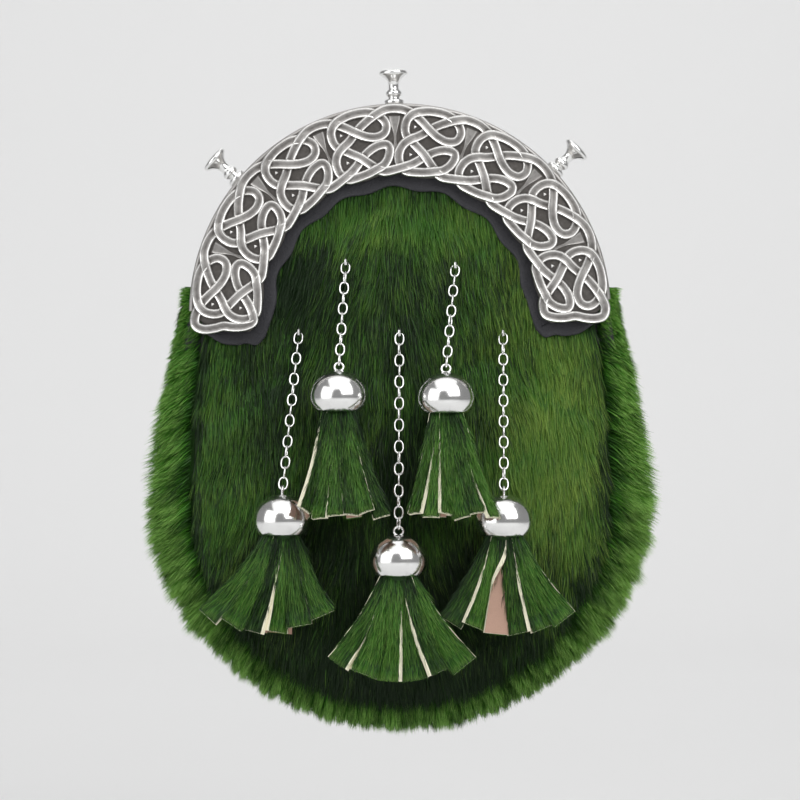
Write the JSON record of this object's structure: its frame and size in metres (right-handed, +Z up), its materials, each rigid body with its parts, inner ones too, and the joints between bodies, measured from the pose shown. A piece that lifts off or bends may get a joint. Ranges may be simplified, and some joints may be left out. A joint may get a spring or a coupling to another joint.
{
  "type": "sporran pouch",
  "caption": "Hollow fur pouch under an arched metal cantle of cast interlace, with domed fur tassels on chains over its front and a strap loop behind.",
  "frame": {"origin": "middle of the belt loop's tunnel behind the pouch", "axes": "+Z up as it hangs, the front faces -Y, +X to the right as seen from the front"},
  "size_m": [0.1798, 0.0699, 0.2368],
  "materials": {
    "front_fur": "short sleek dark green fur, combed down",
    "gusset_fur": "deeper green fur with pale tips",
    "tassel_fur": "strips of green fur hide with cream cut edges",
    "black_leather": "black grained leather",
    "antique_silver": "antiqued silver with dark recesses",
    "bright_chrome": "bright polished"
  },
  "bodies": {
    "root": {"front_panel": "front_fur", "gusset": "black_leather", "gusset_fur": "gusset_fur", "back_panel": "black_leather", "belt_loop": "black_leather", "cantle_border": "black_leather", "cantle": "antique_silver", "knob_top": "bright_chrome", "knob_left": "bright_chrome", "knob_right": "bright_chrome", "staple_upper_left": "bright_chrome", "chain_upper_left": "bright_chrome", "cap_upper_left": "bright_chrome", "skirt_upper_left": "tassel_fur", "staple_upper_right": "bright_chrome", "chain_upper_right": "bright_chrome", "cap_upper_right": "bright_chrome", "skirt_upper_right": "tassel_fur", "staple_lower_left": "bright_chrome", "chain_lower_left": "bright_chrome", "cap_lower_left": "bright_chrome", "skirt_lower_left": "tassel_fur", "staple_lower_middle": "bright_chrome", "chain_lower_middle": "bright_chrome", "cap_lower_middle": "bright_chrome", "skirt_lower_middle": "tassel_fur", "staple_lower_right": "bright_chrome", "chain_lower_right": "bright_chrome", "cap_lower_right": "bright_chrome", "skirt_lower_right": "tassel_fur"}
  },
  "joints": []
}
